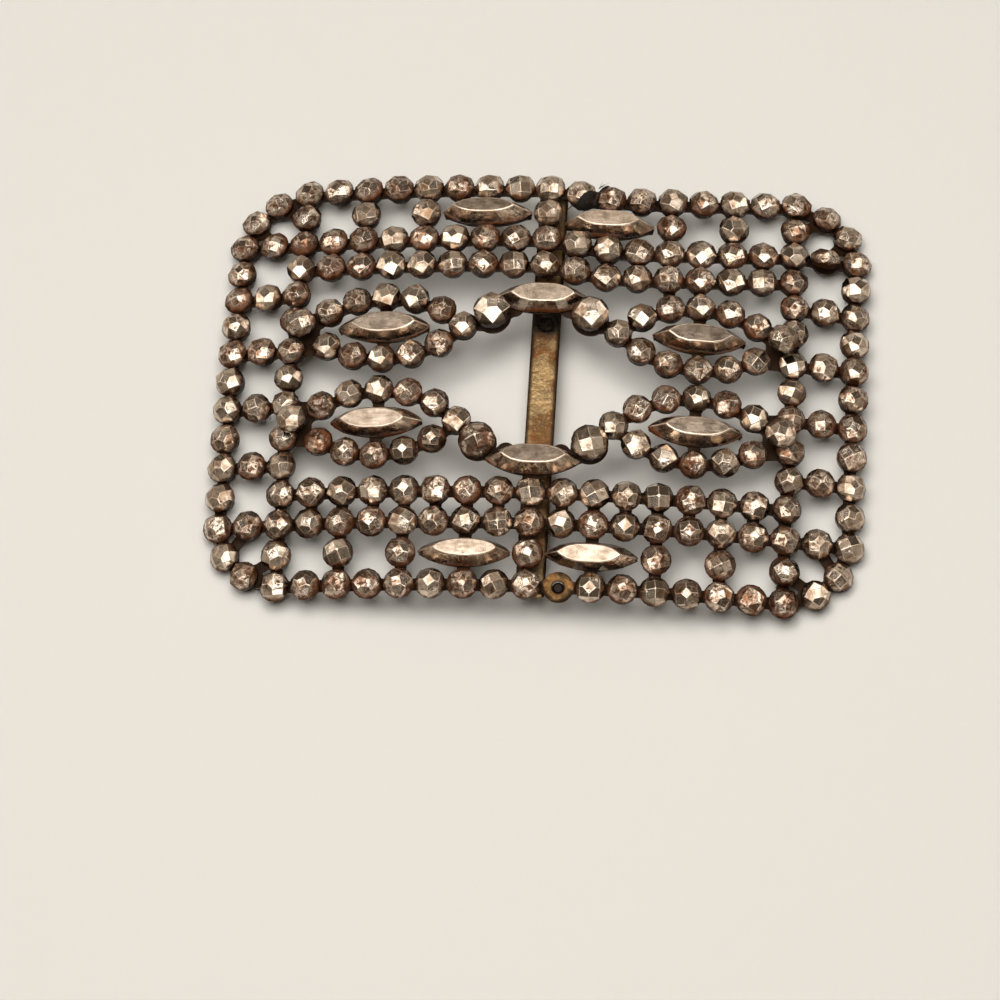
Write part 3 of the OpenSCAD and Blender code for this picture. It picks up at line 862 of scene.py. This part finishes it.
def cut_navette(name, half_length, half_width, seed):
    """One navette. The half width of its girdle at a share t of the half length is a part
    (1 - t ** 2) ** 0.65 of the whole, drawn between the facets' ends as a straight chord that
    bulges more or less towards that curve. The table is the girdle drawn in to 0.68 of its
    length and about 0.64 of its width and moved a little endwise, and the foot to 0.94. The
    facets' tones are drawn, but by their facing the middle one on either side is painted dull,
    as painted shade, and the two beside it in front, where the facets' numbers start, are painted
    bright, as painted highlight."""
    seat, axis = (row[0] for row in places[name])
    nod = np.radians(nods.get(name, 0))
    axis = axis * np.cos(nod) + np.cross(axis, (1.0, 0, 0)) * np.sin(nod)
    draw = np.random.default_rng(seed)
    bulge = draw.uniform(0.1, 0.9)
    curve = np.clip(1 - stations ** 2, 0, 1) ** 0.65
    chords = np.interp(stations, facet_ends, curve[::steps_each])
    width = half_width * (chords + bulge * (curve - chords))
    girdle = np.stack([half_length * stations, -width], 1)
    girdle = np.vstack([girdle, (girdle * (1, -1))[-2:0:-1]])
    slide = draw.uniform(-0.06, 0.06) * half_length
    table = girdle * (0.68, draw.uniform(0.59, 0.69)) + (slide, draw.uniform(-0.03, 0.03) * half_width)
    u, v = (row[0] for row in frames(axis[None]))
    rings = [
        seat + level * navette_height * axis + flat[:, :1] * u + flat[:, 1:] * v
        for flat, level in ((girdle * 0.94, 0), (girdle, 0.16), (table, 1.0))
    ]
    k, k_next = np.arange(around), (np.arange(around) + 1) % around
    bands = [
        np.stack([k, k_next, k_next + around, k + around], 1) + lift for lift in (0, around)]
    piece = mesh_piece(name + "_cut", np.vstack(rings), *bands, k[::-1][None], 2 * around + k[None])
    facet_tone_and_painted_light, facet_wear = draw.random((2, around // steps_each))
    facet_wear *= 0.7
    # Painted highlight and shade: the front facets beside the middle are set bright and both middle facets
    # dull, by their facing.
    facet_tone_and_painted_light[[1, 2, 3, 7]] = (-0.2, 0.6, -0.2, 0.7)
    for key, values, last in (("tone", facet_tone_and_painted_light, 0.3), ("wear", facet_wear, 0.15)):
        each = values[k // steps_each]
        keep_values(piece, key, "FACE", np.concatenate([each, each, (0.5, last)]))
    # Marks the band below the girdle and the foot, which the finish paints near black: painted shade with
    # some dirt.
    keep_values(piece, "side", "FACE", np.repeat((0.9, 0.0, 0.9, 0.0), (around, around, 1, 1)))
    finish = np.zeros(2 * around + 2, int)
    finish[-1] = 2
    piece.data.polygons.foreach_set("material_index", finish)

    def worn(ends):
        low, high = np.sort(ends, 1).T
        return (low >= 2 * around) | (
            (low >= around) & (high == low + around) & np.isin(high % around, (0, around // 2)))

    bevel_ridges(piece, worn, width=0.00016, flats=2)
    return piece


table_steel, tree, surface = finish_of("table_steel")
point = node(tree, "TexCoord").outputs["Object"]
lengthwise = node(tree, "Mapping", {"Vector": point, "Scale": (700.0, 2600.0, 700.0)}).outputs["Vector"]
scratches = node(tree, "TexNoise", {"Vector": lengthwise, "Scale": 1.0, "Detail": 4.0}).outputs["Fac"]
worn = placed_group(tree, tarnish, {
    "Point": point, "Patch Scale": 650.0, "Pit Scale": 2600.0, "Pitted": 0.42})
shade = math(
    tree, "ADD", math(tree, "MULTIPLY", scratches, 0.35), math(tree, "MULTIPLY", worn["Patches"], 0.65))
colour = mixed(tree, shade, (0.53, 0.425, 0.335, 1), (0.16, 0.115, 0.08, 1))
tree.links.new(
    mixed(tree, math(tree, "MULTIPLY", worn["Pits"], 0.6), colour, (0.06, 0.035, 0.02, 1)),
    surface.inputs["Base Color"])
surface.inputs["Metallic"].default_value = 1.0
tree.links.new(ramp(tree, scratches, 0.3, 0.7, 0.22, 0.36), surface.inputs["Roughness"])
bump = node(tree, "Bump", {"Height": scratches, "Strength": 0.3, "Distance": 0.00003})
tree.links.new(bump.outputs["Normal"], surface.inputs["Normal"])
long_facet_steel = steel_finish(
    "long_facet_steel", bright=(0.62, 0.5, 0.39, 1), dull=(0.2, 0.13, 0.08, 1), pitted=0.52,
    rough=0.18, rust=1.1, grime_and_shade=0.5)

for number, name in enumerate(rim_navettes + wide_navettes):
    half_size = rim_navette_half if name in rim_navettes else wide_navette_half
    head = cut_navette(name, *half_size, 80 + number)
    for material in (long_facet_steel, ridge_steel, table_steel):
        head.data.materials.append(material)
    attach(head, "root")
    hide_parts(name)

# The thread: black cotton wound tightly round the top rail between two studs and over the lower
# right of the left one, as a repair or to hold a cloth, with a few broken fibres standing up.
thread_radius = 0.00011
thread_steps = 48
passed_radius = 0.00165
rail_seats, rail_axes = places["rim_studs"]
wound = [
    np.argmin(np.linalg.norm(rail_seats[:, :2] - pitch * np.array((i, 7)), axis=1)) for i in (1, 2)]
rail_up = rail_axes[wound].mean(0)
rail_up /= np.linalg.norm(rail_up)
rail_along = np.diff(rail_seats[wound], axis=0)[0]
rail_gap = np.linalg.norm(rail_along)
rail_along = rail_along / rail_gap
rail_across = np.cross(rail_up, rail_along)
rail_middle = rail_seats[wound].mean(0)


def windings(turns, start, end, slant, clear):
    """A winding round the rail: its place along the rail runs evenly from start to end, and
    leans by slant towards the front. Above the plate it follows a half ellipse, wide and high
    enough to clear the nearer stud where it passes it, and below the plate a flatter one."""
    share = np.linspace(0, 1, turns * thread_steps + 1)
    angle = 2 * np.pi * turns * share
    x = start + (end - start) * share + slant * np.cos(angle)
    from_stud = rail_gap / 2 - np.abs(x)
    chord = np.sqrt(np.clip(1 - (from_stud / passed_radius) ** 2, 0, 1))
    wide = np.maximum(passed_radius * chord, 0.0008) + clear
    high = np.maximum(small_stud_height * chord, 0.0004) + clear
    deep = plate_thickness + 0.0001 + clear
    y = wide * np.cos(angle) * np.where(np.sin(angle) < 0, np.sqrt(np.abs(np.cos(angle)) * 0.35 + 0.65), 1)
    z = np.where(np.sin(angle) > 0, high, deep) * np.sin(angle)
    return rail_middle + x[:, None] * rail_along - y[:, None] * rail_across + z[:, None] * rail_up


def swept(path, radius, sides):
    """A tube with tapered, closed ends along a path: rings of equal sides, each across the
    path's own direction, with a radius that may change along it."""
    run = np.gradient(path, axis=0)
    run /= np.linalg.norm(run, axis=1, keepdims=True)
    u = np.cross(run, rail_along + 0.3 * rail_up)
    u /= np.linalg.norm(u, axis=1, keepdims=True)
    spoke = spokes(u, np.cross(run, u), sides)
    points = path[:, None] + np.reshape(radius, (-1, 1, 1)) * spoke
    ring = np.arange(len(path) - 1)[:, None] * sides
    k, k_next = np.arange(sides), (np.arange(sides) + 1) % sides
    walls = np.stack([ring + k, ring + k_next, ring + k_next + sides, ring + k + sides], -1)
    return points.reshape(-1, 3), walls.reshape(-1, 4), k[None, ::-1], (len(path) - 1) * sides + k[None]


draw = np.random.default_rng(7)
strands = [
    swept(windings(turns, start, end, slant, clear), thread_radius, 6)
    for turns, start, end, slant, clear in (
        (9, -0.0005, 0.0006, -0.0003, 0.00011),
        (5, -0.0006, -0.0001, -0.0013, 0.00014),
        (3, -0.0003, 0.0003, -0.0010, 0.00024),
    )
]
bend = np.linspace(0, 1, 9)[:, None]
fibre_radius = 0.000028
short_end_radius = 0.00009
reaches = draw.uniform((0.3, 0.4, 0), (1.6, 1.1, 0.3), (5, 3))
ends = [((0.0001, 0.0008, 0.0010), reach, fibre_radius) for reach in reaches]
ends.append(((-0.0021, -0.0017, 0.0006), (-0.9, -1.1, -0.5), short_end_radius))
for root, reach, thickness in ends:
    path = np.array(root) + 0.001 * bend * reach
    path[:, 1] += 0.00015 * np.sin(np.pi * bend[:, 0])
    path = rail_middle + path @ (rail_along, rail_across, rail_up)
    strands.append(swept(path, thickness * (1.1 - bend[:, 0]), 5))
thread = mesh_piece("thread", *joined(strands))
thread.data.shade_smooth()
material, tree, surface = finish_of("black_thread")
point = node(tree, "TexCoord").outputs["Object"]
fibres = node(tree, "TexWave", {
    "Vector": point, "Scale": 2200.0, "Distortion": 3.0, "Detail": 2.0, "Detail Scale": 2.0,
}, bands_direction="DIAGONAL").outputs["Fac"]
tree.links.new(
    mixed(tree, fibres, (0.004, 0.003, 0.002, 1), (0.022, 0.016, 0.011, 1)), surface.inputs["Base Color"])
surface.inputs["Roughness"].default_value = 0.7
surface.inputs["Specular IOR Level"].default_value = 0.25
bump = node(tree, "Bump", {"Height": fibres, "Strength": 0.6, "Distance": 0.00003})
tree.links.new(bump.outputs["Normal"], surface.inputs["Normal"])
thread.data.materials.append(material)
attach(thread, "root")
